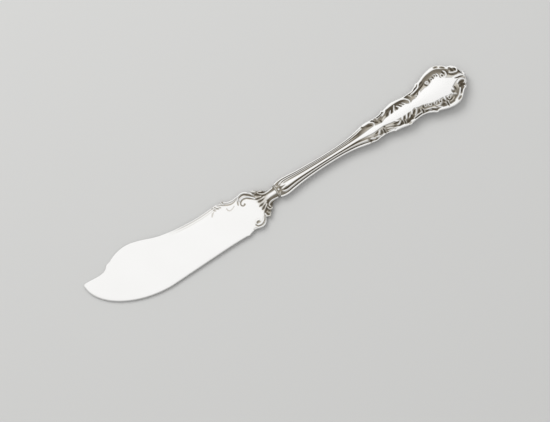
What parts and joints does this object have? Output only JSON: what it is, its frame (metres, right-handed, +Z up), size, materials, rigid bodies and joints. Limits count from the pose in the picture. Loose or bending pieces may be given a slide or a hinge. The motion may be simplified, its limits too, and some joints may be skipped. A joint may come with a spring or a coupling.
{
  "type": "butter knife",
  "caption": "Master butter knife with a notched, bulged blade, a scrolled heel and a ribbed neck, set in a hollow threaded handle that swells to a scrolled bulb.",
  "frame": {"origin": "centre of the underside of the knife's box, on the surface that it lies on", "axes": "+X along the knife from the blade's point to the handle's end, +Y towards the spine, +Z up from the table out of the front face"},
  "size_m": [0.178, 0.0244, 0.0058],
  "materials": {
    "polished_silver": "polished sterling silver, darkened in the recesses",
    "soldered_silver": "satin silver plate with soldered edges",
    "cement": "dull set resin cement"
  },
  "bodies": {
    "root": {"blade": "polished_silver", "handle_front": "polished_silver", "handle_back": "polished_silver", "mouth_plate": "soldered_silver", "cement_filling": "cement"}
  },
  "joints": []
}
